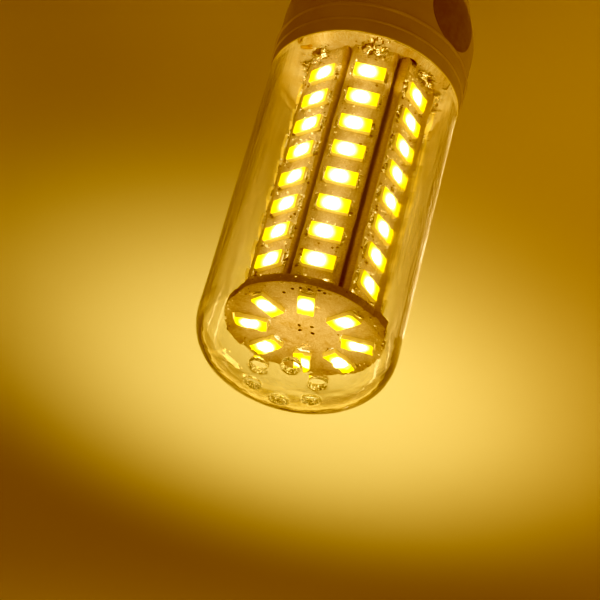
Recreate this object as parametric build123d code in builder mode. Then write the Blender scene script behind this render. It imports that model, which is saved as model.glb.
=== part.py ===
from build123d import *
import os
from math import sin, cos, radians, pi

os.makedirs("parts", exist_ok=True)

# LED corn bulb with a clear cover and an E27 screw cap.
# Frame: +Z runs along the bulb from the cap's contact (z = 0) to the dome's tip.
# The origin lies on the axis of the cap, the housing and the cover. Millimetres.

# ---------------------------------------------------------------- dimensions
# screw cap, E27 pattern
contact_r = 4.9
contact_t = 0.9
solder_dot_r = 1.9
solder_dot_h = 0.5
insulator_r = 11.2
cap_wall = 0.3
thread_pitch = 3.629
thread_minor_r = 12.05
thread_crest_r = 13.1
thread_z = 7.9              # first crest at angle 0
thread_start = 6.4          # the wave grows from here
thread_end = 20.9           # and has run out here
band_r = 13.2               # plain band above the thread
band_z = 21.3
cap_top_z = 26.0

# housing
neck_r = 13.6
neck_z = 28.9
shoulder_z = 41.9
shoulder_r = 17.55
body_r = 18.25
body_z = 46.7
bead2_z = 53.27             # two beads round the collar
bead1_z = 56.66
rim_z = 59.55
rim_r = 18.0
rim_bore_r = 17.35
housing_wall = 1.5

# clear cover
cover_r = 17.86
cover_wall = 1.2
spigot_r = 17.3
spigot_z = 55.6
dome_z = 113.3
dome_h = 10.95
dome_power = 2.4            # the crown is flatter than an ellipse's
vent_ring_r = 5.94
vent_r = 1.65
vent_angle = 136.1

# light engine
base_plate_r = 16.4
base_plate_t = 1.6
base_plate_z = 57.86        # top face
row1_z = 64.05
row_pitch = 6.0
rows = 8
cage_x, cage_y = -0.946, 0.195   # the cage stands a little off the cover's axis
board_t = 1.6
strip_w = 8.3
disk_r = 14.35
disk_t = 1.5
disk_z = 112.6              # outer face
disk_x, disk_y = -0.876, -0.065
led_l, led_w, led_h = 5.7, 3.0, 0.9
disk_led_ring = 9.37
disk_led_angle = 5.46

# each strip: polar angle of its middle, angle that its face looks to,
# radius of the emitting plane, and how far the board is off its row of LEDs
strips = [
    (6.9, 7.1, 12.47, -0.12),
    (55.5, 62.1, 12.29, 0.22),
    (99.0, 99.4, 12.50, 0.0),
    (143.2, 142.8, 12.50, 0.05),
    (187.5, 187.7, 12.50, 0.0),
    (231.9, 231.6, 12.50, -0.05),
    (276.2, 276.6, 12.50, 0.0),
    (323.3, 324.4, 12.40, 0.35),
]


def on_ring(angle, r, cx=cage_x, cy=cage_y):
    """Point of the cage at a polar angle and a radius."""
    a = radians(angle)
    return (cx - r * sin(a), cy - r * cos(a))


def tangent(angle):
    a = radians(angle)
    return (cos(a), -sin(a), 0)


def outward(angle):
    a = radians(angle)
    return (-sin(a), -cos(a), 0)


def strip_origin(k):
    """Middle of a strip's outer face, in plan, under its row of LEDs."""
    theta, face, r_emit, shift = strips[k]
    x, y = on_ring(theta, r_emit)
    n = outward(face)
    return (x - led_h * n[0], y - led_h * n[1])


# ---------------------------------------------------------------- screw cap
# centre contact: a pressed brass disc with a rounded edge and a small hole
with BuildPart() as centre_contact:
    with BuildSketch(Plane.XZ) as s:
        with BuildLine() as l:
            Polyline((0.6, solder_dot_h), (contact_r - 0.5, solder_dot_h))
            RadiusArc((contact_r - 0.5, solder_dot_h), (contact_r, solder_dot_h + 0.5), -0.5)
            Polyline((contact_r, solder_dot_h + 0.5), (contact_r, solder_dot_h + contact_t),
                     (0.6, solder_dot_h + contact_t), (0.6, solder_dot_h))
        make_face()
    revolve(axis=Axis.Z)
centre_contact.part.label = "centre_contact"
export_step(centre_contact.part, "parts/centre_contact.step")

# solder dot that closes the contact's hole over the lead
with BuildPart() as contact_solder:
    with BuildSketch(Plane.XZ) as s:
        with BuildLine() as l:
            Polyline((0, 0), (0, solder_dot_h), (solder_dot_r, solder_dot_h))
            Bezier((solder_dot_r, solder_dot_h), (solder_dot_r * 0.85, 0), (0.3, 0))
            Line((0.3, 0), (0, 0))
        make_face()
    revolve(axis=Axis.Z)
contact_solder.part.label = "contact_solder"
export_step(contact_solder.part, "parts/contact_solder.step")

# glass insulator: a cone between the contact and the shell, with the lead's hole
insulator_z = solder_dot_h + contact_t
with BuildPart() as cap_insulator:
    with BuildSketch(Plane.XZ) as s:
        with BuildLine() as l:
            Polyline((0.6, insulator_z), (5.4, insulator_z))
            ThreePointArc((5.4, insulator_z), (7.9, 2.6), (10.05, 4.8))
            Polyline((10.05, 4.8), (10.1, 5.25), (insulator_r - 0.3, 5.75), (insulator_r - 0.1, 6.4),
                     (insulator_r - 0.1, 7.2), (0.6, 7.2), (0.6, insulator_z))
        make_face()
    revolve(axis=Axis.Z)
cap_insulator.part.label = "cap_insulator"
export_step(cap_insulator.part, "parts/cap_insulator.step")

# threaded shell: rolled from sheet, so the thread shows inside as well.
# The sheet's section at each angle is the same wave, moved up by the pitch.
def shell_radius(z, turn):
    """Outer radius of the rolled sheet at a height and an angle in radians."""
    grow = min(1.0, max(0.0, (z - thread_start) / 2.2))
    grow = grow * grow * (3 - 2 * grow)
    top = min(1.0, max(0.0, (thread_end - z) / 2.0))
    top = top * top * (3 - 2 * top)
    middle = thread_minor_r + (thread_crest_r - thread_minor_r) / 2 * grow
    wave = (thread_crest_r - thread_minor_r) / 2 * grow * cos(2 * pi * (z - thread_z) / thread_pitch - turn)
    return (middle + wave) * top + (band_r - 0.15) * (1 - top)


def sheet_points(turn, count=44):
    outer, inner = [], []
    for i in range(count):
        z = thread_start + (band_z - 0.1 - thread_start) * i / (count - 1)
        slope = (shell_radius(z + 0.01, turn) - shell_radius(z - 0.01, turn)) / 0.02
        outer.append((shell_radius(z, turn), z))
        inner.append((shell_radius(z, turn) - cap_wall * (1 + slope * slope) ** 0.5, z))
    return outer, inner


quarters = []
for quarter in range(4):
    with BuildPart() as quarter_shell:
        for step in range(7):
            turn = pi / 2 * (quarter + step / 6)
            outer, inner = sheet_points(turn)
            with BuildSketch(Plane(origin=(0, 0, 0), x_dir=(cos(turn), sin(turn), 0),
                                   z_dir=(sin(turn), -cos(turn), 0))) as s:
                with BuildLine() as l:
                    Spline(*outer)
                    Line(outer[-1], inner[-1])
                    Spline(*inner[::-1])
                    Polyline(inner[0], (11.2, 5.45), (10.3, 5.15), (10.3, 4.85), (11.3, 5.05), outer[0])
                make_face()
        loft()
    quarters.append(quarter_shell.part)

with BuildPart() as cap_shell:
    for quarter_part in quarters:
        add(quarter_part)
    with BuildSketch(Plane.XZ) as s:
        with BuildLine() as l:
            Polyline((band_r - 0.12, band_z - 0.3), (band_r, band_z - 0.18), (band_r, cap_top_z),
                     (band_r - cap_wall, cap_top_z), (band_r - cap_wall, band_z - 0.3),
                     (band_r - 0.12, band_z - 0.3))
        make_face()
    revolve(axis=Axis.Z)
    # the band is staked to the housing's spigot in four places
    with BuildSketch(Plane.XY.offset(cap_top_z - 1.5)) as s:
        with PolarLocations(0, 4, start_angle=45):
            with Locations((band_r + 0.75, 0)):
                Circle(0.9)
    extrude(amount=0.9, mode=Mode.SUBTRACT)
cap_shell.part.label = "cap_shell"
export_step(cap_shell.part, "parts/cap_shell.step")

# ---------------------------------------------------------------- housing
# moulded funnel: spigot in the cap, neck, cone, shoulder, collar with two beads
cone = (shoulder_r - neck_r) / (shoulder_z - neck_z)
with BuildPart() as housing:
    with BuildSketch(Plane.XZ) as s:
        with BuildLine() as outer:
            Polyline((12.85, cap_top_z), (neck_r, cap_top_z), (neck_r, neck_z - 0.6))
            Spline((neck_r, neck_z - 0.6), (neck_r + 0.12, neck_z + 0.15), (neck_r + 0.55, neck_z + 1.7),
                   tangents=[(0, 1), (cone, 1)])
            Line((neck_r + 0.55, neck_z + 1.7), (shoulder_r, shoulder_z))
            Spline((shoulder_r, shoulder_z), (18.02, 43.9), (body_r, body_z), tangents=[(cone, 1), (0, 1)])
            Line((body_r, body_z), (body_r - 0.05, bead2_z - 0.45))
            ThreePointArc((body_r - 0.05, bead2_z - 0.45), (body_r + 0.28, bead2_z), (body_r - 0.08, bead2_z + 0.35))
            Line((body_r - 0.08, bead2_z + 0.35), (body_r - 0.11, bead1_z - 0.35))
            ThreePointArc((body_r - 0.11, bead1_z - 0.35), (body_r + 0.12, bead1_z), (body_r - 0.16, bead1_z + 0.3))
            Line((body_r - 0.16, bead1_z + 0.3), (rim_r, rim_z - 0.15))
            Polyline((rim_r, rim_z - 0.15), (rim_r - 0.12, rim_z), (rim_bore_r, rim_z), (rim_bore_r, spigot_z - 0.1),
                     (16.5, spigot_z - 0.1), (16.5, base_plate_z - base_plate_t), (15.2, base_plate_z - base_plate_t),
                     (15.2, 54.7), (16.7, 53.2), (body_r - housing_wall, 52.0), (body_r - housing_wall, body_z))
            Spline((body_r - housing_wall, body_z), (16.5, 43.7), (shoulder_r - housing_wall, 41.4),
                   tangents=[(0, -1), (-cone, -1)])
            Line((shoulder_r - housing_wall, 41.4), (neck_r - housing_wall + 0.1, neck_z - 0.2))
            Polyline((neck_r - housing_wall + 0.1, neck_z - 0.2), (11.3, 27.4), (11.3, 21.9), (12.3, 21.9),
                     (12.85, 22.6), (12.85, cap_top_z))
        make_face()
    revolve(axis=Axis.Z)
    # the stakes' dimples in the spigot
    with BuildSketch(Plane.XY.offset(cap_top_z - 1.6)) as s:
        with PolarLocations(0, 4, start_angle=45):
            with Locations((band_r + 0.65, 0)):
                Circle(1.1)
    extrude(amount=1.1, mode=Mode.SUBTRACT)
housing.part.label = "housing"
export_step(housing.part, "parts/housing.step")

# oval paper label, left blank, on the housing's shoulder and side
label_az = -147.0
label_z = 46.3
label_t = 0.1
with BuildPart() as blank_label:
    with BuildSketch(Plane(origin=(0, 0, 0), x_dir=(cos(radians(label_az - 40)), sin(radians(label_az - 40)), 0),
                           z_dir=(sin(radians(label_az - 40)), -cos(radians(label_az - 40)), 0))) as s:
        with BuildLine() as l:
            Line((neck_r + 0.55, neck_z + 1.7), (shoulder_r, shoulder_z))
            Spline((shoulder_r, shoulder_z), (18.02, 43.9), (body_r, body_z), tangents=[(cone, 1), (0, 1)])
            Polyline((body_r, body_z), (body_r - 0.05, bead2_z - 0.45), (body_r - 0.05 + label_t, bead2_z - 0.45),
                     (body_r + label_t, body_z))
            Spline((body_r + label_t, body_z), (18.02 + label_t, 43.9 - 0.02), (shoulder_r + label_t, shoulder_z - 0.03),
                   tangents=[(0, -1), (-cone, -1)])
            Line((shoulder_r + label_t, shoulder_z - 0.03), (neck_r + 0.55 + label_t, neck_z + 1.67))
            Line((neck_r + 0.55 + label_t, neck_z + 1.67), (neck_r + 0.55, neck_z + 1.7))
        make_face()
    revolve(axis=Axis.Z, revolution_arc=80)
    with BuildSketch(Plane(origin=(0, 0, label_z), x_dir=(-sin(radians(label_az)), cos(radians(label_az)), 0),
                           z_dir=(cos(radians(label_az)), sin(radians(label_az)), 0))) as s:
        Ellipse(6.3, 6.7)
    extrude(amount=30, mode=Mode.INTERSECT)
blank_label.part.label = "blank_label"
export_step(blank_label.part, "parts/blank_label.step")

# ---------------------------------------------------------------- clear cover
def dome_points(r, h, count=15):
    """A quarter superellipse from the wall's top up to the axis."""
    angles = [pi / 2 * i / (count - 1) for i in range(count)]
    return [(r, dome_z)] + [(r * cos(a) ** (2 / dome_power), dome_z + h * sin(a) ** (2 / dome_power))
                            for a in angles[1:-1]] + [(0, dome_z + h)]


with BuildPart() as clear_cover:
    with BuildSketch(Plane.XZ) as s:
        with BuildLine() as l:
            Polyline((spigot_r - 0.7, spigot_z), (spigot_r - 0.1, spigot_z), (spigot_r, spigot_z + 0.2),
                     (spigot_r, rim_z + 0.05), (cover_r - 0.1, rim_z + 0.05), (cover_r, rim_z + 0.2), (cover_r, dome_z))
            Spline(*dome_points(cover_r, dome_h), tangents=[(0, 1), (-1, 0)])
            Line((0, dome_z + dome_h), (0, dome_z + dome_h - cover_wall))
            Spline(*dome_points(cover_r - cover_wall, dome_h - cover_wall)[::-1], tangents=[(1, 0), (0, -1)])
            Polyline((cover_r - cover_wall, dome_z), (cover_r - cover_wall, rim_z), (spigot_r - 0.7, rim_z - 0.6),
                     (spigot_r - 0.7, spigot_z))
        make_face()
    revolve(axis=Axis.Z)
    with BuildSketch(Plane.XY.offset(dome_z)) as s:
        with PolarLocations(vent_ring_r, 6, start_angle=vent_angle):
            Circle(vent_r)
    extrude(amount=20, mode=Mode.SUBTRACT)
clear_cover.part.label = "clear_cover"
export_step(clear_cover.part, "parts/clear_cover.step")

# ---------------------------------------------------------------- light engine
# base plate: the round board that the strips stand on
wire_hole = (-8.06, -8.5)
wire_hole_r = 1.6
base_vias = [(0.1, -12.2), (-1.2, -12.35), (-3.0, -12.25), (-15.1, -3.75), (-14.9, -2.75), (-14.5, 4.1)]
with BuildPart() as base_plate:
    with BuildSketch(Plane.XY.offset(base_plate_z - base_plate_t)) as s:
        Circle(base_plate_r)
        with Locations(wire_hole):
            Circle(wire_hole_r, mode=Mode.SUBTRACT)
        with Locations(*base_vias):
            Circle(0.32, mode=Mode.SUBTRACT)
    extrude(amount=base_plate_t)
base_plate.part.label = "base_plate"
export_step(base_plate.part, "parts/base_plate.step")

# end disk: broken out of its panel, so it keeps two tab stubs, a nick and a flat
disk_vias = [(-0.05, -1.21), (-2.27, -1.20), (-0.10, 0.27), (-2.27, 0.63)]
disk_arc = [(1.98, -10.82), (0.44, -12.27), (-0.95, -12.9), (-2.39, -12.91), (-4.11, -12.99), (-4.98, -12.45)]
with BuildPart() as end_disk:
    with BuildSketch(Plane.XY.offset(disk_z - disk_t)) as s:
        with Locations((disk_x, disk_y)):
            Circle(disk_r)
        for angle, r, w in ((66.0, 14.08, 4.4), (249.0, 14.1, 3.6)):
            with Locations(Location((*on_ring(angle, r, disk_x, disk_y), 0), (0, 0, -angle))):
                RectangleRounded(w, 1.5, 0.35)
        for angle, r, w in ((91.0, 14.7, 2.6), (-55.0, 14.75, 6.5), (118.0, 14.78, 3.0), (272.0, 14.75, 2.4)):
            with Locations(Location((*on_ring(angle, r, disk_x, disk_y), 0), (0, 0, -angle))):
                Rectangle(w, 1.5, mode=Mode.SUBTRACT)
        with Locations(*disk_vias):
            Circle(0.34, mode=Mode.SUBTRACT)
        with Locations(*disk_arc):
            Circle(0.28, mode=Mode.SUBTRACT)
    extrude(amount=disk_t)
end_disk.part.label = "end_disk"
export_step(end_disk.part, "parts/end_disk.step")


# LED package lying on the XY plane of a location: a white body with a shallow
# dish for the phosphor and one cut corner that marks the cathode
def led_package():
    with BuildPart(mode=Mode.PRIVATE) as led:
        with BuildSketch() as s:
            Rectangle(led_l, led_w)
            with Locations((led_l / 2, led_w / 2)):
                Rectangle(1.0, 1.0, rotation=45, mode=Mode.SUBTRACT)
        extrude(amount=led_h)
        with BuildSketch(Plane.XY.offset(led_h)) as s:
            RectangleRounded(4.5, 2.3, 0.3)
        extrude(amount=-0.16, taper=20, mode=Mode.SUBTRACT)
    return led.part


package = led_package()

# eight LEDs on the end disk, long side radial
with BuildPart() as disk_leds:
    for k in range(8):
        a = disk_led_angle + 45 * k
        x, y = on_ring(a, disk_led_ring)
        with Locations(Plane(origin=(x, y, disk_z), x_dir=outward(a), z_dir=(0, 0, 1)).location):
            add(package)
disk_leds.part.label = "disk_leds"
export_step(disk_leds.part, "parts/disk_leds.step")


# strips: boards broken out of a V-scored panel, so both long edges are bevelled
def strip_board(k):
    theta, face, r_emit, shift = strips[k]
    x, y = strip_origin(k)
    w = strip_w / 2
    with BuildPart() as board:
        with BuildSketch(Plane(origin=(x, y, base_plate_z), x_dir=tangent(face), z_dir=(0, 0, 1))) as s:
            with BuildLine() as l:
                Polyline((shift - w + 0.12, 0), (shift + w - 0.12, 0), (shift + w, 0.5), (shift + w, 1.0),
                         (shift + w - 0.25, board_t), (shift - w + 0.25, board_t), (shift - w, 1.0),
                         (shift - w, 0.5), (shift - w + 0.12, 0))
            make_face()
        extrude(amount=disk_z - disk_t - base_plate_z)
    board.part.label = f"led_strip_{k + 1}"
    export_step(board.part, f"parts/led_strip_{k + 1}.step")
    return board.part


def strip_leds(k):
    theta, face, r_emit, shift = strips[k]
    x, y = strip_origin(k)
    with BuildPart() as leds:
        for row in range(rows):
            with Locations(Plane(origin=(x, y, row1_z + row * row_pitch), x_dir=tangent(face),
                                 z_dir=outward(face)).location):
                add(package)
    leds.part.label = f"strip_leds_{k + 1}"
    export_step(leds.part, f"parts/strip_leds_{k + 1}.step")
    return leds.part


for k in range(8):
    strip_board(k)
    strip_leds(k)


# solder: two joints at each end of each strip, in the corner with the plate or disk.
# They are done by hand, so those on the plate sit off the pads' middles.
base_joints = [(-0.55, 0.95), (-2.6, -0.9), (-2.3, 2.3), (-2.3, 2.3), (-2.3, 2.3), (-2.3, 2.3), (-2.3, 1.1), (0.9, 2.45)]
disk_joints = [(-2.3, 2.3)] * 8


def solder_joints(z_face, up, r, places, label):
    """Half-cone fillets with a hollow flank, standing against the strips' faces."""
    with BuildPart() as joints:
        for k, (theta, face, r_emit, shift) in enumerate(strips):
            x, y = strip_origin(k)
            t, n = tangent(face), outward(face)
            for side in places[k]:
                px, py = x + t[0] * (side + shift), y + t[1] * (side + shift)
                corner = Plane(origin=(px, py, z_face), x_dir=(-t[0], -t[1], 0), z_dir=(-n[0], -n[1], 0))
                with BuildSketch(corner) as s:
                    with BuildLine() as l:
                        Line((0, 0), (r, 0))
                        ThreePointArc((r, 0), (r * 0.55, up * r * 0.62), (r * 0.3, up * r * 1.3))
                        Polyline((r * 0.3, up * r * 1.3), (0, up * r * 1.3), (0, 0))
                    make_face()
                revolve(axis=Axis((px, py, z_face), (0, 0, 1)), revolution_arc=180)
    joints.part.label = label
    export_step(joints.part, f"parts/{label}.step")
    return joints.part


solder_joints(base_plate_z, 1, 1.45, base_joints, "base_solder")
solder_joints(disk_z - disk_t, -1, 1.15, disk_joints, "disk_solder")

# ---------------------------------------------------------------- driver
# capacitive-dropper driver: an upright board in the housing's neck
driver_w, driver_bottom, driver_top, driver_t = 17.0, 12.0, 49.0, 1.2
with BuildPart() as driver_board:
    with BuildSketch(Plane.XZ.offset(-driver_t / 2)) as s:
        with Locations((0, (driver_bottom + driver_top) / 2)):
            Rectangle(driver_w, driver_top - driver_bottom)
        with Locations((-6.4, driver_bottom + 2), (6.4, driver_bottom + 2), (-6.0, driver_top - 2), (6.0, driver_top - 2)):
            Circle(0.65, mode=Mode.SUBTRACT)
    extrude(amount=driver_t)
driver_board.part.label = "driver_board"
export_step(driver_board.part, "parts/driver_board.step")

# film capacitor: dipped box on the +Y side
with BuildPart() as film_capacitor:
    with BuildSketch(Plane.XZ.offset(-driver_t / 2 - 0.3)) as s:
        with Locations((0, 37.5)):
            RectangleRounded(13.5, 18.0, 1.2)
    extrude(amount=-8.0)
    fillet(film_capacitor.edges().group_by(Axis.Y)[-1], 1.0)
film_capacitor.part.label = "film_capacitor"
export_step(film_capacitor.part, "parts/film_capacitor.step")

# electrolytic capacitor: can with a rolled groove, on the -Y side
with BuildPart() as smoothing_capacitor:
    with BuildSketch(Plane(origin=(0, -driver_t / 2 - 4.3, 31.0), x_dir=(1, 0, 0), z_dir=(0, 0, 1))) as s:
        Circle(4.0)
    extrude(amount=13.5)
    fillet(smoothing_capacitor.edges().group_by(Axis.Z)[-1], 0.5)
    with BuildSketch(Plane(origin=(0, -driver_t / 2 - 4.3, 33.0), x_dir=(1, 0, 0), z_dir=(0, 0, 1))) as s:
        Circle(4.2)
        Circle(3.65, mode=Mode.SUBTRACT)
    extrude(amount=0.8, mode=Mode.SUBTRACT)
smoothing_capacitor.part.label = "smoothing_capacitor"
export_step(smoothing_capacitor.part, "parts/smoothing_capacitor.step")

# bridge rectifier: small moulded block with four leads
with BuildPart() as bridge_rectifier:
    with Locations((0, -driver_t / 2 - 0.4 - 1.3, 21.5)):
        Box(6.4, 2.6, 8.2)
    chamfer(bridge_rectifier.edges().group_by(Axis.Y)[0], 0.35)
    for x in (-3.45, 3.45):
        for z in (19.0, 24.0):
            with Locations((x, -driver_t / 2 - 0.9, z)):
                Box(0.7, 1.8, 0.6)
bridge_rectifier.part.label = "bridge_rectifier"
export_step(bridge_rectifier.part, "parts/bridge_rectifier.step")


def axial_resistor(x, y, z, length, r, label):
    """Axial resistor standing along Z, its two leads bent back to the board."""
    side = 1 if y > 0 else -1
    with BuildPart() as res:
        with BuildSketch(Plane(origin=(x, y, 0), x_dir=(1, 0, 0), z_dir=(0, -1, 0))) as s:
            with BuildLine() as l:
                h = length / 2
                Line((0, z - h), (r, z - h))
                Line((r, z - h), (r, z - h + 1.4))
                ThreePointArc((r, z - h + 1.4), (r * 0.84, z), (r, z + h - 1.4))
                Polyline((r, z + h - 1.4), (r, z + h), (0, z + h), (0, z - h))
            make_face()
        revolve(axis=Axis((x, y, 0), (0, 0, 1)))
        for end in (-1, 1):
            with BuildLine() as lead:
                FilletPolyline((x, y, z + end * (h - 0.3)), (x, y, z + end * (h + 1.6)),
                               (x, side * driver_t / 2, z + end * (h + 1.6)), radius=0.7)
            with BuildSketch(Plane(origin=lead.line @ 0, z_dir=lead.line % 0)) as s:
                Circle(0.28)
            sweep(path=lead.wires()[0])
    res.part.label = label
    export_step(res.part, f"parts/{label}.step")
    return res.part


axial_resistor(-4.9, driver_t / 2 + 1.7, 20.0, 6.3, 1.2, "bleeder_resistor")
axial_resistor(4.9, driver_t / 2 + 1.9, 20.0, 8.0, 1.4, "fuse_resistor")


def lead_wire(points, radius, bend, label):
    with BuildPart() as wire:
        with BuildLine() as path:
            FilletPolyline(*points, radius=bend)
        with BuildSketch(Plane(origin=path.line @ 0, z_dir=path.line % 0)) as s:
            Circle(radius)
        sweep(path=path.wires()[0])
    wire.part.label = label
    export_step(wire.part, f"parts/{label}.step")
    return wire.part


# bare end of the live lead runs down through the insulator to the contact
lead_wire([(0, 0, solder_dot_h), (0, 0, 8.6), (5.6, -1.15, 10.6), (6.4, -1.15, 14.6)], 0.5, 1.6, "live_lead")
# neutral lead is pinched between the shell's band and the spigot
lead_wire([(-6.4, -1.15, 14.6), (-6.9, -1.15, 18.4), (-9.6, -1.15, 19.8), (-11.0, -1.15, 17.2)], 0.5, 1.2, "neutral_lead")
# output leads up to the underside of the base plate
lead_wire([(-6.0, -1.15, 46.0), (-6.0, -1.15, 51.0), (-9.0, -3.6, 53.2), (-9.0, -3.6, base_plate_z - base_plate_t)],
          0.5, 1.4, "positive_lead")
lead_wire([(6.0, -1.15, 46.0), (6.0, -1.15, 51.0), (8.4, -3.4, 53.2), (8.4, -3.4, base_plate_z - base_plate_t)],
          0.5, 1.4, "negative_lead")
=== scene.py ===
from math import sin, cos, pi, radians, sqrt, hypot, atan2, exp
from random import Random

import bpy
import bmesh
import numpy as np
from mathutils import Matrix, Vector, noise
from mathutils.geometry import delaunay_2d_cdt


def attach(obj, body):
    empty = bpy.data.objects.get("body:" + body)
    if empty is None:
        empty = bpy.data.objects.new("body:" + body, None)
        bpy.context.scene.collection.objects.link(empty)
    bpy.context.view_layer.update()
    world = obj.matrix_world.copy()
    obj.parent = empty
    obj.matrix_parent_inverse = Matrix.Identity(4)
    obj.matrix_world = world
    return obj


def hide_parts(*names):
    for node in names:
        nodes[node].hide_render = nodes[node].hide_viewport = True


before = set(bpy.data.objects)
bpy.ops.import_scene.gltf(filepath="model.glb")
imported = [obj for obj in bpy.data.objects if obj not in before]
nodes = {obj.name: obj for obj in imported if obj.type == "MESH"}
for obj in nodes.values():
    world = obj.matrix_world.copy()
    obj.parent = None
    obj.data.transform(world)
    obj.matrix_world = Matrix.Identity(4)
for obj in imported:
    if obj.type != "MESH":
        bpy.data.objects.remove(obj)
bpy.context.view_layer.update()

scene = bpy.context.scene
MM = 0.001

# ------------------------------------------------------------------ dimensions
# The same millimetres as the CAD.
band_r, cap_top_z = 13.2, 26.0
cap_wall, thread_pitch, thread_minor_r, thread_crest_r = 0.3, 3.629, 12.05, 13.1
thread_z, thread_start, thread_end = 7.9, 6.4, 20.9
cover_r, cover_wall, spigot_r, spigot_z, rim_z = 17.86, 1.2, 17.3, 55.6, 59.55
dome_z, dome_h, dome_power = 113.3, 10.95, 2.4
vent_ring_r, vent_r, vent_angle = 5.94, 1.65, 136.1
base_plate_r, base_plate_t, base_plate_z = 16.4, 1.6, 57.86
row1_z, row_pitch, rows = 64.05, 6.0, 8
cage_x, cage_y = -0.946, 0.195
board_t, strip_w = 1.6, 8.3
disk_r, disk_t, disk_z, disk_x, disk_y = 14.35, 1.5, 112.6, -0.876, -0.065
led_l, led_w, led_h = 5.7, 3.0, 0.9
disk_led_ring, disk_led_angle = 9.37, 5.46
strips = [
    (6.9, 7.1, 12.47, -0.12),
    (55.5, 62.1, 12.29, 0.22),
    (99.0, 99.4, 12.50, 0.0),
    (143.2, 142.8, 12.50, 0.05),
    (187.5, 187.7, 12.50, 0.0),
    (231.9, 231.6, 12.50, -0.05),
    (276.2, 276.6, 12.50, 0.0),
    (323.3, 324.4, 12.40, 0.35),
]


def on_ring(angle, r, cx=cage_x, cy=cage_y):
    a = radians(angle)
    return (cx - r * sin(a), cy - r * cos(a))


def tangent(angle):
    a = radians(angle)
    return np.array([cos(a), -sin(a), 0.0])


def outward(angle):
    a = radians(angle)
    return np.array([-sin(a), -cos(a), 0.0])


def strip_origin(k):
    theta, face, r_emit, shift = strips[k]
    x, y = on_ring(theta, r_emit)
    n = outward(face)
    return np.array([x - led_h * n[0], y - led_h * n[1], 0.0])


# ------------------------------------------------------------------ materials
def new_material(name):
    m = bpy.data.materials.new(name)
    m.use_nodes = True
    nt = m.node_tree
    return m, nt, nt.nodes["Principled BSDF"]


def coords(nt, scale=(1, 1, 1)):
    """Object coordinates in millimetres, stretched."""
    tc = nt.nodes.new("ShaderNodeTexCoord")
    mp = nt.nodes.new("ShaderNodeMapping")
    mp.inputs["Scale"].default_value = tuple(1000 * s for s in scale)
    nt.links.new(tc.outputs["Object"], mp.inputs["Vector"])
    return mp.outputs["Vector"]


def noise_tex(nt, vec, scale, detail=4.0, rough=0.5, distortion=0.0):
    n = nt.nodes.new("ShaderNodeTexNoise")
    n.inputs["Scale"].default_value = scale
    n.inputs["Detail"].default_value = detail
    n.inputs["Roughness"].default_value = rough
    n.inputs["Distortion"].default_value = distortion
    nt.links.new(vec, n.inputs["Vector"])
    return n.outputs["Fac"]


def voronoi(nt, vec, scale, feature="F1"):
    n = nt.nodes.new("ShaderNodeTexVoronoi")
    n.feature = feature
    n.inputs["Scale"].default_value = scale
    nt.links.new(vec, n.inputs["Vector"])
    return n.outputs["Distance"]


def ramp(nt, fac, stops, interpolation="LINEAR"):
    r = nt.nodes.new("ShaderNodeValToRGB")
    r.color_ramp.interpolation = interpolation
    el = r.color_ramp.elements
    while len(el) < len(stops):
        el.new(0.5)
    for e, (pos, col) in zip(el, stops):
        e.position = pos
        e.color = (*col, 1.0) if len(col) == 3 else col
    nt.links.new(fac, r.inputs["Fac"])
    return r.outputs["Color"]


def map_range(nt, fac, a, b, c, d):
    m = nt.nodes.new("ShaderNodeMapRange")
    for key, v in (("From Min", a), ("From Max", b), ("To Min", c), ("To Max", d)):
        m.inputs[key].default_value = v
    nt.links.new(fac, m.inputs["Value"])
    return m.outputs["Result"]


def math_node(nt, op, a, b=None, clamp=False):
    m = nt.nodes.new("ShaderNodeMath")
    m.operation = op
    m.use_clamp = clamp
    for i, v in enumerate((a, b)):
        if v is None:
            continue
        if isinstance(v, (int, float)):
            m.inputs[i].default_value = v
        else:
            nt.links.new(v, m.inputs[i])
    return m.outputs[0]


def mix_color(nt, fac, a, b, mode="MIX"):
    m = nt.nodes.new("ShaderNodeMix")
    m.data_type = "RGBA"
    m.blend_type = mode
    for key, v in ((0, fac), (6, a), (7, b)):
        if isinstance(v, (int, float)):
            m.inputs[key].default_value = v
        elif isinstance(v, tuple):
            m.inputs[key].default_value = (*v, 1.0)
        else:
            nt.links.new(v, m.inputs[key])
    return m.outputs[2]


def bump(nt, bsdf, height, distance, strength=1.0):
    b = nt.nodes.new("ShaderNodeBump")
    b.inputs["Strength"].default_value = strength
    b.inputs["Distance"].default_value = distance * MM
    nt.links.new(height, b.inputs["Height"])
    nt.links.new(b.outputs["Normal"], bsdf.inputs["Normal"])
    return b


def speckled(name, colour, dark, scale, roughness=(0.4, 0.6), metallic=0.0, bump_mm=0.01, bump_scale=None,
             stretch=(1, 1, 1), coat=0.0, ior=1.5, specular=0.5):
    """The common finish: two tones of one colour, uneven gloss, a little relief."""
    m, nt, b = new_material(name)
    vec = coords(nt, stretch)
    f = noise_tex(nt, vec, scale, 6.0, 0.6)
    nt.links.new(ramp(nt, f, [(0.32, dark), (0.68, colour)]), b.inputs["Base Color"])
    g = noise_tex(nt, vec, scale * 2.3, 4.0, 0.6)
    nt.links.new(map_range(nt, g, 0.3, 0.7, *roughness), b.inputs["Roughness"])
    b.inputs["Metallic"].default_value = metallic
    b.inputs["IOR"].default_value = ior
    b.inputs["Specular IOR Level"].default_value = specular
    if coat:
        b.inputs["Coat Weight"].default_value = coat
        b.inputs["Coat Roughness"].default_value = 0.08
    h = noise_tex(nt, vec, bump_scale or scale * 4, 5.0, 0.6)
    bump(nt, b, h, bump_mm)
    return m


mat = {}


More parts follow.
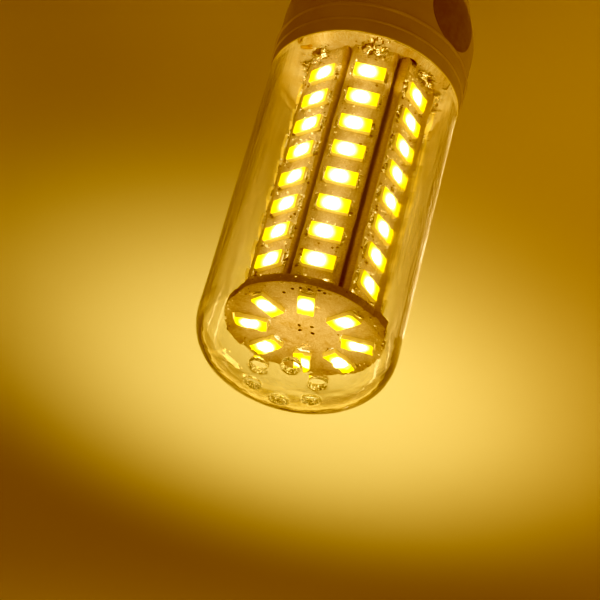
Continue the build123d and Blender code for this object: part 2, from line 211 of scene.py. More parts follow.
def nickel():
    m, nt, b = new_material("nickel_plate")
    vec = coords(nt)
    long = coords(nt, (0.15, 0.15, 3.0))
    tone = noise_tex(nt, vec, 0.25, 6.0, 0.65)
    nt.links.new(ramp(nt, tone, [(0.3, (0.50, 0.48, 0.44)), (0.62, (0.74, 0.72, 0.68)), (0.8, (0.80, 0.78, 0.74))]),
                 b.inputs["Base Color"])
    lines = noise_tex(nt, long, 1.6, 5.0, 0.7)
    spots = noise_tex(nt, vec, 1.7, 6.0, 0.7)
    both = math_node(nt, "ADD", math_node(nt, "MULTIPLY", lines, 0.5), math_node(nt, "MULTIPLY", spots, 0.5))
    nt.links.new(map_range(nt, both, 0.35, 0.65, 0.16, 0.38), b.inputs["Roughness"])
    b.inputs["Metallic"].default_value = 1.0
    bump(nt, b, both, 0.012)
    return m


def led_light(name, core, mid, rim, sharp=1.0):
    """Glow of an LED's top: white over the chips, yellow at the ends. The UV map spans the package."""
    m, nt, b = new_material(name)
    uv = nt.nodes.new("ShaderNodeUVMap")
    uv.uv_map = "led"
    sep = nt.nodes.new("ShaderNodeSeparateXYZ")
    nt.links.new(uv.outputs["UV"], sep.inputs[0])
    x = math_node(nt, "MULTIPLY", math_node(nt, "SUBTRACT", sep.outputs[0], 0.5), 2.0)
    y = math_node(nt, "MULTIPLY", math_node(nt, "SUBTRACT", sep.outputs[1], 0.5), 1.12)
    d = math_node(nt, "SQRT", math_node(nt, "ADD", math_node(nt, "MULTIPLY", x, x), math_node(nt, "MULTIPLY", y, y)))
    col = ramp(nt, d, [(0.0, core), (0.18 * sharp, tuple(0.6 * c for c in core)), (0.34 * sharp, mid), (0.46 * sharp, (3.4, 2.8, 0.80)),
                       (0.60, (2.2, 1.9, 0.32)), (0.76, rim), (1.0, tuple(0.75 * c for c in rim))])
    nt.links.new(col, b.inputs["Emission Color"])
    b.inputs["Emission Strength"].default_value = 1.0
    b.inputs["Base Color"].default_value = (0.85, 0.62, 0.08, 1)
    grain = noise_tex(nt, coords(nt), 3.0, 3.0, 0.6)
    nt.links.new(map_range(nt, grain, 0.3, 0.7, 0.35, 0.5), b.inputs["Roughness"])
    return m


def clear_plastic():
    """Clear moulded polycarbonate. Lamps shine through it; the eye sees it bend and mirror the light."""
    m, nt, b = new_material("clear_polycarbonate")
    out = nt.nodes["Material Output"]
    vec = coords(nt)
    b.inputs["Base Color"].default_value = (0.995, 0.985, 0.96, 1)
    b.inputs["Transmission Weight"].default_value = 1.0
    b.inputs["IOR"].default_value = 1.50
    # scuffs run along the cover
    streak = noise_tex(nt, coords(nt, (1.0, 1.0, 0.045)), 1.6, 7.0, 0.68)
    haze = noise_tex(nt, coords(nt, (0.3, 0.3, 0.06)), 0.6, 4.0, 0.6)
    scuff = ramp(nt, streak, [(0.44, (0, 0, 0)), (0.56, (0.3, 0.3, 0.3)), (0.68, (1, 1, 1))])
    patches = map_range(nt, haze, 0.36, 0.54, 0.0, 1.0)
    split = nt.nodes.new("ShaderNodeSeparateXYZ")
    nt.links.new(vec, split.inputs[0])
    sides = map_range(nt, split.outputs[2], 104.0, 113.0, 1.0, 0.0)
    worn = math_node(nt, "MULTIPLY", sides, map_range(nt, split.outputs[1], -15.5, -10.0, 0.22, 1.0))
    wear = math_node(nt, "MULTIPLY", math_node(nt, "MULTIPLY", scuff, patches), worn, clamp=True)
    nt.links.new(map_range(nt, wear, 0.0, 1.0, 0.012, 0.20), b.inputs["Roughness"])
    nt.links.new(map_range(nt, wear, 0.0, 1.0, 1.0, 0.72), b.inputs["Transmission Weight"])
    ripple = noise_tex(nt, coords(nt, (1.0, 1.0, 0.25)), 0.16, 3.0, 0.5)
    h = math_node(nt, "ADD", math_node(nt, "MULTIPLY", ripple, 1.0), math_node(nt, "MULTIPLY", wear, 0.10))
    bump(nt, b, h, 0.10)
    lp = nt.nodes.new("ShaderNodeLightPath")
    lamp = math_node(nt, "MAXIMUM", lp.outputs["Is Shadow Ray"], lp.outputs["Is Diffuse Ray"])
    tr = nt.nodes.new("ShaderNodeBsdfTransparent")
    tr.inputs["Color"].default_value = (0.95, 0.94, 0.90, 1)
    mix = nt.nodes.new("ShaderNodeMixShader")
    nt.links.new(lamp, mix.inputs[0])
    nt.links.new(b.outputs[0], mix.inputs[1])
    nt.links.new(tr.outputs[0], mix.inputs[2])
    nt.links.new(mix.outputs[0], out.inputs["Surface"])
    return m


def board_mask(name, light, dark, stain, stain_scale=0.35, gloss=(0.28, 0.5)):
    """White solder mask that has gone tan with heat and flux."""
    m, nt, b = new_material(name)
    vec = coords(nt)
    base = ramp(nt, noise_tex(nt, vec, 0.5, 6.0, 0.65), [(0.3, dark), (0.7, light)])
    s = noise_tex(nt, vec, stain_scale, 7.0, 0.72, 0.6)
    speck = noise_tex(nt, vec, 6.0, 4.0, 0.7)
    f = math_node(nt, "MULTIPLY", map_range(nt, s, 0.50, 0.68, 0.0, 1.0), map_range(nt, speck, 0.35, 0.6, 0.35, 1.0), clamp=True)
    tone = mix_color(nt, f, base, stain)
    grit = noise_tex(nt, vec, 4.5, 2.0, 0.8)
    nt.links.new(mix_color(nt, map_range(nt, grit, 0.40, 0.60, 0.55, 0.0), tone, stain), b.inputs["Base Color"])
    nt.links.new(map_range(nt, noise_tex(nt, vec, 2.2, 5.0, 0.6), 0.3, 0.7, *gloss), b.inputs["Roughness"])
    bump(nt, b, math_node(nt, "ADD", noise_tex(nt, vec, 3.5, 5.0, 0.65), math_node(nt, "MULTIPLY", f, 0.6)), 0.03)
    return m


def frosted_vent_plastic_painted_glints():
    """The same plastic where a drill has frosted it, with painted glints: specks of emission stand in for light caught
    in the frosting.
    """
    m, nt, b = new_material("drilled_polycarbonate_painted_glints")
    vec = coords(nt)
    f = noise_tex(nt, vec, 3.2, 4.0, 0.7)
    nt.links.new(ramp(nt, f, [(0.35, (0.80, 0.66, 0.44)), (0.62, (0.98, 0.95, 0.88))]), b.inputs["Base Color"])
    nt.links.new(map_range(nt, f, 0.3, 0.7, 0.04, 0.25), b.inputs["Roughness"])
    nt.links.new(map_range(nt, f, 0.35, 0.65, 0.20, 0.85), b.inputs["Transmission Weight"])
    b.inputs["IOR"].default_value = 1.5
    # painted glints: emission specks placed by noise
    painted_glint_noise = noise_tex(nt, vec, 4.6, 3.0, 0.75)
    nt.links.new(ramp(nt, painted_glint_noise, [(0.43, (0.0, 0.0, 0.0)), (0.53, (0.20, 0.14, 0.03)), (0.61, (1.1, 0.84, 0.28)), (0.71, (2.1, 1.75, 0.85))]),
                 b.inputs["Emission Color"])
    b.inputs["Emission Strength"].default_value = 1.0
    bump(nt, b, f, 0.06)
    return m


mat["vent_wall_painted_glints"] = frosted_vent_plastic_painted_glints()
mat["nickel"] = nickel()
mat["black_glass"] = speckled("black_glass", (0.022, 0.021, 0.024), (0.012, 0.012, 0.014), 0.3, (0.05, 0.14), coat=0.6,
                              bump_mm=0.02, bump_scale=0.5)
mat["brass"] = speckled("pressed_brass", (0.78, 0.60, 0.30), (0.62, 0.45, 0.2), 0.6, (0.22, 0.42), metallic=1.0, bump_mm=0.01)
mat["solder"] = speckled("solder", (0.97, 0.95, 0.90), (0.80, 0.78, 0.72), 1.4, (0.05, 0.18), metallic=1.0, bump_mm=0.06,
                         bump_scale=2.2)
mat["flux"] = speckled("flux_residue", (0.34, 0.19, 0.06), (0.14, 0.07, 0.02), 1.6, (0.06, 0.2), bump_mm=0.05, coat=0.8,
                       bump_scale=3.0)
def solder_with_painted_glints():
    """Solder spatter with painted glints: emission in noise patches stands in for the light of the lit packages beside
    it.
    """
    m = speckled("solder_with_painted_glints", (1.0, 0.97, 0.90), (0.86, 0.82, 0.72), 2.0, (0.06, 0.2), metallic=0.7, bump_mm=0.04,
                 bump_scale=4.0, coat=0.5)
    nt = m.node_tree
    f = noise_tex(nt, coords(nt), 3.6, 3.0, 0.7)
    b = nt.nodes["Principled BSDF"]
    # painted glints: emission in noise patches
    nt.links.new(ramp(nt, f, [(0.40, (0.02, 0.01, 0.0)), (0.52, (0.40, 0.28, 0.08)), (0.62, (1.2, 0.95, 0.42))]), b.inputs["Emission Color"])
    b.inputs["Emission Strength"].default_value = 1.0
    return m


mat["painted_glint_spatter"] = solder_with_painted_glints()
mat["amber_flux"] = speckled("amber_flux", (0.80, 0.54, 0.20), (0.66, 0.40, 0.12), 1.2, (0.08, 0.2), bump_mm=0.03, coat=0.6)
mat["housing"] = speckled("housing_plastic", (0.80, 0.74, 0.58), (0.72, 0.65, 0.49), 0.12, (0.16, 0.27), bump_mm=0.012,
                          bump_scale=1.4)
mat["label"] = speckled("blank_label", (0.36, 0.33, 0.28), (0.28, 0.25, 0.2), 0.5, (0.3, 0.45), bump_mm=0.02)
mat["cover"] = clear_plastic()
mat["mask"] = board_mask("strip_mask", (0.80, 0.74, 0.62), (0.68, 0.61, 0.48), (0.42, 0.29, 0.13))
mat["plate_mask"] = board_mask("plate_mask", (0.88, 0.85, 0.76), (0.82, 0.78, 0.68), (0.6, 0.45, 0.22), 0.22)
mat["laminate"] = speckled("laminate_edge", (0.68, 0.56, 0.32), (0.44, 0.34, 0.17), 1.8, (0.5, 0.75), stretch=(1, 1, 1.6),
                           bump_mm=0.06, bump_scale=3.0)
mat["pad"] = speckled("tinned_pad", (0.88, 0.84, 0.76), (0.70, 0.65, 0.55), 2.5, (0.18, 0.4), metallic=1.0, bump_mm=0.02)
# near-black walls of the disk's holes: painted shade in the holes
mat["hole_wall_shade"] = speckled("via_hole_painted_shade", (0.10, 0.06, 0.02), (0.04, 0.02, 0.01), 2.0, (0.4, 0.6), bump_mm=0.02)
mat["led_top"] = led_light("led_phosphor", (24.0, 18.0, 9.0), (6.5, 5.0, 1.9), (1.6, 1.28, 0.0))
mat["driver"] = speckled("driver_laminate", (0.50, 0.36, 0.16), (0.42, 0.29, 0.12), 0.8, (0.4, 0.6), bump_mm=0.02)
mat["film"] = speckled("dipped_resin", (0.46, 0.10, 0.05), (0.36, 0.07, 0.03), 0.3, (0.12, 0.25), bump_mm=0.05, coat=0.5)
mat["sleeve"] = speckled("capacitor_sleeve", (0.06, 0.08, 0.13), (0.04, 0.05, 0.09), 0.4, (0.2, 0.34), bump_mm=0.01, coat=0.4)
mat["moulding"] = speckled("black_moulding", (0.035, 0.034, 0.033), (0.02, 0.02, 0.02), 1.5, (0.4, 0.6), bump_mm=0.02)
mat["resistor"] = speckled("lacquer", (0.60, 0.50, 0.33), (0.52, 0.42, 0.26), 1.0, (0.3, 0.45), bump_mm=0.02)
mat["red_wire"] = speckled("red_insulation", (0.55, 0.04, 0.03), (0.45, 0.03, 0.02), 0.6, (0.25, 0.4), bump_mm=0.01)
mat["black_wire"] = speckled("black_insulation", (0.03, 0.03, 0.03), (0.02, 0.02, 0.02), 0.6, (0.25, 0.4), bump_mm=0.01)


def led_case(name, dim, bright):
    """Side walls of the package: white resin, lit from inside."""
    m, nt, b = new_material(name)
    vec = coords(nt)
    f = noise_tex(nt, vec, 1.5, 3.0, 0.5)
    nt.links.new(ramp(nt, f, [(0.3, dim), (0.7, bright)]), b.inputs["Emission Color"])
    b.inputs["Emission Strength"].default_value = 1.0
    b.inputs["Base Color"].default_value = (0.8, 0.7, 0.3, 1)
    nt.links.new(map_range(nt, f, 0.3, 0.7, 0.3, 0.45), b.inputs["Roughness"])
    return m


mat["led_case"] = led_case("led_case", (0.24, 0.165, 0.04), (0.36, 0.25, 0.06))
mat["led_case_end"] = led_case("led_case_end", (0.22, 0.155, 0.045), (0.31, 0.22, 0.066))


# ------------------------------------------------------------------ mesh helpers
class Soup:
    """Gathers vertices and faces in millimetres for one piece."""

    def __init__(self):
        self.v, self.f, self.m, self.uv = [], [], [], []
        self.count = 0

    def add(self, verts, faces, material=0, uv=None):
        verts = np.asarray(verts, float).reshape(-1, 3)
        self.v.append(verts)
        self.f.extend([tuple(i + self.count for i in f) for f in faces])
        self.m.extend([material] * len(faces) if isinstance(material, int) else list(material))
        if uv is None:
            uv = np.zeros((len(verts), 2))
        self.uv.append(np.asarray(uv, float))
        self.count += len(verts)

    def placed(self, other, origin, x, y, z):
        """Adds another soup, its axes turned to x, y, z and moved to origin."""
        v = np.concatenate(other.v)
        w = np.asarray(origin) + v[:, :1] * x + v[:, 1:2] * y + v[:, 2:3] * z
        self.add(w, other.f, list(other.m), np.concatenate(other.uv))


def build(name, soup, mats, replaces=(), sharp=35.0, uv_name=None, recalc=False):
    me = bpy.data.meshes.new(name)
    v = np.concatenate(soup.v) * MM
    me.from_pydata(v.tolist(), [], soup.f)
    for m in mats:
        me.materials.append(mat[m])
    me.polygons.foreach_set("material_index", np.array(soup.m, np.int32))
    me.polygons.foreach_set("use_smooth", np.ones(len(me.polygons), bool))
    if uv_name:
        uvs = np.concatenate(soup.uv)
        layer = me.uv_layers.new(name=uv_name)
        idx = np.zeros(len(me.loops), np.int32)
        me.loops.foreach_get("vertex_index", idx)
        layer.data.foreach_set("uv", uvs[idx].astype(np.float32).ravel())
    me.update()
    if recalc:
        bm = bmesh.new()
        bm.from_mesh(me)
        bmesh.ops.recalc_face_normals(bm, faces=bm.faces)
        bm.to_mesh(me)
        bm.free()
    if sharp is not None:
        me.set_sharp_from_angle(angle=radians(sharp))
    ob = bpy.data.objects.new(name, me)
    scene.collection.objects.link(ob)
    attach(ob, "root")
    if replaces:
        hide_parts(*replaces)
    return ob


def bridge(n, a, b, closed=True):
    """Quads between two loops of n vertices that start at a and at b."""
    last = n if closed else n - 1
    return [(a + i, a + (i + 1) % n, b + (i + 1) % n, b + i) for i in range(last)]


def lathe(profile, n, shape=None):
    """Closed solid of revolution from a closed profile of (r, z), its points counter-clockwise seen with r to the right."""
    s = Soup()
    verts, index = [], []
    for r, z in profile:
        if r < 1e-6:
            index.append((len(verts), 1))
            verts.append((0.0, 0.0, z))
        else:
            index.append((len(verts), n))
            for i in range(n):
                a = 2 * pi * i / n
                verts.append((r * cos(a), r * sin(a), z))
    faces = []
    m = len(profile)
    for k in range(m):
        (a, ca), (b, cb) = index[k], index[(k + 1) % m]
        if ca == n and cb == n:
            faces += [(a + i, a + (i + 1) % n, b + (i + 1) % n, b + i) for i in range(n)]
        elif ca == n:
            faces += [(a + i, a + (i + 1) % n, b) for i in range(n)]
        elif cb == n:
            faces += [(a, b + (i + 1) % n, b + i) for i in range(n)]
    verts = np.array(verts)
    if shape is not None:
        verts = shape(verts)
    s.add(verts, faces)
    return s


def rounded_rect(w, h, r, cut=0.0, steps=4):
    """Loop of points, counter-clockwise from the right-hand side's upper corner. The first corner may be cut off."""
    pts = []
    for c, (sx, sy) in enumerate(((1, 1), (-1, 1), (-1, -1), (1, -1))):
        cx, cy = sx * (w / 2 - r), sy * (h / 2 - r)
        start = c * pi / 2
        for i in range(steps + 1):
            t = i / steps
            if c == 0 and cut:
                pts.append((w / 2 - cut * t, h / 2 - cut * (1 - t)))
            else:
                a = start + t * pi / 2
                pts.append((cx + r * cos(a), cy + r * sin(a)))
    return pts


def inside(points, polygon):
    """Even-odd test of many points against one polygon."""
    p, q = np.asarray(points, float), np.asarray(polygon, float)
    hit = np.zeros(len(p), bool)
    j = len(q) - 1
    for i in range(len(q)):
        xi, yi, xj, yj = q[i, 0], q[i, 1], q[j, 0], q[j, 1]
        if yi != yj:
            cross = ((yi > p[:, 1]) != (yj > p[:, 1])) & (p[:, 0] < (xj - xi) * (p[:, 1] - yi) / (yj - yi) + xi)
            hit ^= cross
        j = i
    return hit


def triangulated(loops, extra=()):
    """Triangles between an outer loop (the first) and its holes. Returns points, triangles and each loop's indices."""
    pts, edges, spans = [], [], []
    for loop in loops:
        a = len(pts)
        pts += [Vector(p) for p in loop]
        n = len(loop)
        edges += [(a + i, a + (i + 1) % n) for i in range(n)]
        spans.append(list(range(a, a + n)))
    pts += [Vector(p) for p in extra]
    vo, _, fo, vmap, _, _ = delaunay_2d_cdt(pts, edges, [], 0, 1e-7)
    back = {}
    for new, olds in enumerate(vmap):
        for old in olds:
            back[old] = new
    tri = np.array([f for f in fo if len(f) == 3])
    xy = np.array([(v.x, v.y) for v in vo])
    mid = xy[tri].mean(1)
    keep = inside(mid, loops[0])
    for hole in loops[1:]:
        keep &= ~inside(mid, hole)
    tri = tri[keep]
    a, b, c = xy[tri[:, 0]], xy[tri[:, 1]], xy[tri[:, 2]]
    area = (b[:, 0] - a[:, 0]) * (c[:, 1] - a[:, 1]) - (b[:, 1] - a[:, 1]) * (c[:, 0] - a[:, 0])
    tri[area < 0] = tri[area < 0][:, ::-1]
    return xy, [tuple(int(i) for i in t) for t in tri], [[back[i] for i in s] for s in spans]


def lump(s, rng, centre, size, subdivisions=2, rough=0.25, material=0, axes=None, seed=None):
    """A closed, uneven drop: a ball of subdivided triangles pushed about by noise and scaled by its size along each
    axis.
    """
    v, f = ball(subdivisions)
    off = Vector((rng.uniform(-50, 50), rng.uniform(-50, 50), rng.uniform(-50, 50)))
    w = np.array([1.0 + rough * noise.noise(Vector(p) * 1.6 + off) + 0.35 * rough * noise.noise(Vector(p) * 4.1 + off)
                  for p in v])
    p = v * w[:, None] * np.asarray(size)
    if axes is not None:
        p = p[:, :1] * axes[0] + p[:, 1:2] * axes[1] + p[:, 2:3] * axes[2]
    s.add(p + np.asarray(centre), f, material)


_balls = {}


def ball(subdivisions):
    if subdivisions not in _balls:
        bm = bmesh.new()
        bmesh.ops.create_icosphere(bm, subdivisions=subdivisions, radius=1.0)
        v = np.array([x.co[:] for x in bm.verts])
        f = [tuple(x.index for x in face.verts) for face in bm.faces]
        bm.free()
        _balls[subdivisions] = (v, f)
    return _balls[subdivisions]


# ------------------------------------------------------------------ screw cap
def shell_radius(z, turn):
    grow = min(1.0, max(0.0, (z - thread_start) / 2.2))
    grow = grow * grow * (3 - 2 * grow)
    top = min(1.0, max(0.0, (thread_end - z) / 2.0))
    top = top * top * (3 - 2 * top)
    middle = thread_minor_r + (thread_crest_r - thread_minor_r) / 2 * grow
    wave = (thread_crest_r - thread_minor_r) / 2 * grow * cos(2 * pi * (z - thread_z) / thread_pitch - turn)
    return (middle + wave) * top + (band_r - 0.15) * (1 - top)


def cap_shell():
    n = 224
    zs = list(np.linspace(thread_start, 21.0, 62)) + [21.08, 21.14, 21.3, 21.6] + list(np.linspace(22.0, 25.82, 17)) + [25.94, 26.0]
    rows_v = []

    def ring(z, inner):
        pts = []
        for i in range(n):
            a = 2 * pi * i / n
            if z <= 21.08:
                r = shell_radius(z, a)
                if inner:
                    slope = (shell_radius(z + 0.01, a) - shell_radius(z - 0.01, a)) / 0.02
                    r -= cap_wall * sqrt(1 + slope * slope)
            else:
                r = band_r - (0.08 if z < 21.2 else 0.0) - (cap_wall if inner else 0.0)
                if z > 25.9 and not inner:
                    r -= 0.05
                for q in range(4):
                    b = radians(45 + 90 * q)
                    d = hypot((a - b) * band_r if abs(a - b) < pi else 9, z - 24.95)
                    if d < 1.15:
                        r -= 0.42 * (0.5 + 0.5 * cos(pi * d / 1.15)) ** 0.8
            pts.append((r * cos(a), r * sin(a), z))
        return pts

    lower = [(11.3, 5.05), (10.3, 4.85), (10.3, 5.15), (11.2, 5.45)]
    outer = [ring(z, False) for z in zs]
    inner = [ring(z, True) for z in reversed(zs)]
    s = Soup()
    loops = [[(r * cos(2 * pi * i / n), r * sin(2 * pi * i / n), z) for i in range(n)] for r, z in
             ((10.28, 4.98), (10.34, 4.86), (10.7, 4.9), (11.3, 5.05), (11.62, 5.35), (11.82, 5.85))]
    back = [[(r * cos(2 * pi * i / n), r * sin(2 * pi * i / n), z) for i in range(n)] for r, z in
            ((11.52, 6.0), (11.3, 5.55), (10.8, 5.25), (10.34, 5.12))]
    allr = loops + outer + inner + back
    verts = np.array([p for ring_pts in allr for p in ring_pts])
    faces = []
    for k in range(len(allr)):
        faces += bridge(n, k * n, ((k + 1) % len(allr)) * n)
    s.add(verts, faces)
    return build("cap_shell_rolled", s, ["nickel"], ["cap_shell"], 40, recalc=True)


cap_shell()


def arc_points(p0, p1, p2, n):
    """Points on the circle through three points, from the first to the last."""
    (x1, y1), (x2, y2), (x3, y3) = p0, p1, p2
    d = 2 * (x1 * (y2 - y3) + x2 * (y3 - y1) + x3 * (y1 - y2))
    ux = ((x1 ** 2 + y1 ** 2) * (y2 - y3) + (x2 ** 2 + y2 ** 2) * (y3 - y1) + (x3 ** 2 + y3 ** 2) * (y1 - y2)) / d
    uy = ((x1 ** 2 + y1 ** 2) * (x3 - x2) + (x2 ** 2 + y2 ** 2) * (x1 - x3) + (x3 ** 2 + y3 ** 2) * (x2 - x1)) / d
    r = hypot(x1 - ux, y1 - uy)
    a0, am, a1 = atan2(y1 - uy, x1 - ux), atan2(y2 - uy, x2 - ux), atan2(y3 - uy, x3 - ux)
    span = (a1 - a0) % (2 * pi)
    if (am - a0) % (2 * pi) > span:
        span -= 2 * pi
    return [(ux + r * cos(a0 + span * i / n), uy + r * sin(a0 + span * i / n)) for i in range(n + 1)]


# glass insulator, its face slightly wavy as pressed glass is
prof = [(0.0, 1.42), (5.4, 1.42)] + arc_points((5.4, 1.42), (7.9, 2.62), (10.05, 4.8), 14)[1:] + \
       [(10.12, 5.2), (10.9, 5.75), (11.1, 6.4), (11.1, 7.2), (0.0, 7.2)]


def wavy(v):
    out = v.copy()
    r = np.hypot(v[:, 0], v[:, 1])
    a = np.arctan2(v[:, 1], v[:, 0])
    m = (r > 5.6) & (v[:, 2] < 4.5)
    out[m, 2] += 0.05 * np.sin(3 * a[m] + 0.6) * np.sin((r[m] - 5.6) / 4.4 * pi)
    return out


build("insulator_glass", lathe(prof, 120, wavy), ["black_glass"], ["cap_insulator"], 40, recalc=True)
prof = [(0.0, 0.52), (4.4, 0.5)] + arc_points((4.4, 0.5), (4.754, 0.646), (4.9, 1.0), 6)[1:] + [(4.9, 1.4), (0.0, 1.4)]
build("contact_disc", lathe(prof, 96), ["brass"], ["centre_contact"], 40, recalc=True)
rng = Random(5)
s = Soup()
v, f = ball(4)
w = np.array([1.0 + 0.10 * noise.noise(Vector(p) * 1.7) for p in v])
p = v * w[:, None] * np.array([2.0, 1.85, 0.52]) + np.array([0.1, 0.0, 0.53])
p[:, 2] = np.clip(p[:, 2], 0.0, 0.6)
s.add(p, f)
build("contact_solder_dot", s, ["solder"], ["contact_solder"], None)

# ------------------------------------------------------------------ clear cover
def cover():
    n = 240
    a2, b2 = cover_r, dome_h
    ai, bi = cover_r - cover_wall, dome_h - cover_wall
    disc_r = 9.6

    def z_out(r):
        return dome_z + b2 * max(0.0, 1 - (r / a2) ** dome_power) ** (1 / dome_power)

    def z_in(r):
        return dome_z + bi * max(0.0, 1 - (r / ai) ** dome_power) ** (1 / dome_power)

    def quarter(a, b, count):
        """Points from the wall's top up to where the disc takes over, evenly by turning angle."""
        e = 2 / dome_power
        end = np.arccos((disc_r / a) ** (1 / e))
        return [(a * cos(t) ** e, dome_z + b * sin(t) ** e) for t in end * np.linspace(0, 1, count) ** 1.25]

    s = Soup()
    normals = {}
    outer = [(16.6, spigot_z, (0, -1)), (17.2, spigot_z, (0, -1)), (spigot_r, spigot_z + 0.2, (1, 0)), (spigot_r, rim_z + 0.05, (1, 0)),
             (cover_r - 0.1, rim_z + 0.05, (0, -1)), (cover_r, rim_z + 0.2, (1, 0))]
    prof = [(r, z) for r, z, _ in outer]
    prof += [(cover_r, z) for z in np.linspace(rim_z + 2.0, dome_z - 1.0, 40)]
    prof += quarter(a2, b2, 44)
    prof_in = quarter(ai, bi, 44)[::-1]
    prof_in += [(ai, z) for z in np.linspace(dome_z - 1.0, rim_z + 2.0, 40)]
    prof_in += [(ai, rim_z), (16.6, rim_z - 0.6)]
    m_out, m_in = len(prof), len(prof_in)
    verts = []
    for r, z in prof + prof_in:
        for i in range(n):
            a = 2 * pi * i / n
            verts.append((r * cos(a), r * sin(a), z))
    faces = []
    for k in range(m_out - 1):
        faces += bridge(n, k * n, (k + 1) * n)
    for k in range(m_out, m_out + m_in - 1):
        faces += bridge(n, k * n, (k + 1) * n)
    faces += bridge(n, (m_out + m_in - 1) * n, 0)
    # the vented middle of the dome
    vents = [(vent_ring_r * cos(radians(vent_angle + 60 * k)), vent_ring_r * sin(radians(vent_angle + 60 * k))) for k in range(6)]
    nh, edge = 40, 0.07
    loops = [[(disc_r * cos(2 * pi * i / n), disc_r * sin(2 * pi * i / n)) for i in range(n)]]
    for vx, vy in vents:
        loops.append([(vx + (vent_r + edge) * cos(2 * pi * i / nh), vy + (vent_r + edge) * sin(2 * pi * i / nh)) for i in range(nh)])
    extra = [(0.0, 0.0)]
    for r in np.arange(0.55, disc_r - 0.2, 0.5):
        m = int(max(8, 2 * pi * r / 0.5))
        for i in range(m):
            q = (r * cos(2 * pi * i / m + r), r * sin(2 * pi * i / m + r))
            if all(hypot(q[0] - vx, q[1] - vy) > vent_r + edge + 0.22 for vx, vy in vents):
                extra.append(q)
    xy, tri, spans = triangulated(loops, extra)
    base_o = len(verts)
    for x, y in xy:
        verts.append((x, y, z_out(hypot(x, y))))
    base_i = len(verts)
    for x, y in xy:
        verts.append((x, y, z_in(hypot(x, y))))
    faces += [tuple(base_o + i for i in t) for t in tri]
    faces += [tuple(base_i + i for i in reversed(t)) for t in tri]
    # rounded edges and walls of the vents
    wall_faces = []
    for (vx, vy), span in zip(vents, spans[1:]):
        rings = []
        for turn in (0.3, 0.6, 0.85, 1.0):
            a = turn * pi / 2
            rings.append(("o", edge * (1 - sin(a)), edge * (1 - cos(a))))
        walls = []
        for side, rr, dz in rings:
            walls.append([(vx + (vent_r + rr) * cos(2 * pi * i / nh), vy + (vent_r + rr) * sin(2 * pi * i / nh), dz) for i in range(nh)])
        start = len(verts)
        for ring_pts in walls:
            for x, y, dz in ring_pts:
                verts.append((x, y, z_out(hypot(x, y)) - dz))
        # the wall left by the drill: chatter marks and burrs
        for level in (0.22, 0.36, 0.5, 0.64, 0.78):
            for i in range(nh):
                a = 2 * pi * i / nh
                q = vent_r - 0.10 + 0.17 * noise.noise(Vector((vx + 5 * cos(a), vy + 5 * sin(a), level * 15)))
                x, y = vx + q * cos(a), vy + q * sin(a)
                verts.append((x, y, z_out(hypot(x, y)) * (1 - level) + z_in(hypot(x, y)) * level))
        for ring_pts in reversed(walls):
            for x, y, dz in ring_pts:
                verts.append((x, y, z_in(hypot(x, y)) + dz))
        top = [base_o + i for i in span]
        bottom = [base_i + i for i in span]
        chain = [top] + [list(range(start + k * nh, start + (k + 1) * nh)) for k in range(13)] + [bottom]
        for c1, c2 in zip(chain, chain[1:]):
            wall_faces += [(c1[i], c1[(i + 1) % nh], c2[(i + 1) % nh], c2[i]) for i in range(nh)]
    verts = np.array(verts)
    s.add(verts, faces + wall_faces, [0] * len(faces) + [1] * len(wall_faces))
    ob = build("clear_cover_moulding", s, ["cover", "vent_wall_painted_glints"], ["clear_cover"], None)
    bm = bmesh.new()
    bm.from_mesh(ob.data)
    bmesh.ops.remove_doubles(bm, verts=bm.verts, dist=1e-7)
    bmesh.ops.recalc_face_normals(bm, faces=bm.faces)
    bm.to_mesh(ob.data)
    bm.free()
    me = ob.data
    me.set_sharp_from_angle(angle=radians(42))
    return ob


cover()


# ------------------------------------------------------------------ LED package
def led_package(core=0.0):
    """Lying on z = 0, long side along x. Its UV map spans the top, moved by core towards one end."""
    s = Soup()

    def uv_of(pts):
        p = np.asarray(pts, float)
        return np.c_[0.5 + (p[:, 0] - core) / led_l, 0.5 + p[:, 1] / led_w]

    steps = 4
    n = 4 * (steps + 1)
    loops = [
        (led_l - 0.02, led_w - 0.02, 0.08, 0.42, 0.05),
        (led_l, led_w, 0.08, 0.42, 0.12),
        (led_l, led_w, 0.08, 0.42, 0.70),
        (led_l - 0.03, led_w - 0.03, 0.08, 0.42, 0.84),
        (led_l - 0.08, led_w - 0.08, 0.08, 0.42, 0.885),
        (led_l - 0.14, led_w - 0.14, 0.08, 0.42, 0.90),
    ]
    verts = []
    for w, h, r, cut, z in loops:
        verts += [(x, y, z) for x, y in rounded_rect(w, h, r, cut, steps)]
    faces = []
    for k in range(len(loops) - 1):
        faces += bridge(n, k * n, (k + 1) * n)
    faces.append(tuple(range(n - 1, -1, -1)))
    s.add(verts, faces, 0, uv_of(verts))
    # top: flat rim, sloping dish wall, phosphor with a low meniscus
    top = [
        (led_l - 0.14, led_w - 0.14, 0.08, 0.42, 0.90),
        (4.62, 2.42, 0.36, 0.0, 0.90),
        (4.50, 2.30, 0.34, 0.0, 0.875),
        (4.36, 2.16, 0.30, 0.0, 0.795),
        (4.0, 1.85, 0.25, 0.0, 0.765),
        (3.0, 1.2, 0.2, 0.0, 0.755),
        (1.5, 0.5, 0.1, 0.0, 0.752),
    ]
    verts = []
    for w, h, r, cut, z in top:
        verts += [(x, y, z) for x, y in rounded_rect(w, h, r, cut, steps)]
    verts.append((0.0, 0.0, 0.752))
    faces = []
    for k in range(len(top) - 1):
        faces += bridge(n, k * n, (k + 1) * n)
    c = len(verts) - 1
    a = (len(top) - 1) * n
    faces += [(a + i, a + (i + 1) % n, c) for i in range(n)]
    s.add(verts, faces, 1, uv_of(verts))
    return s


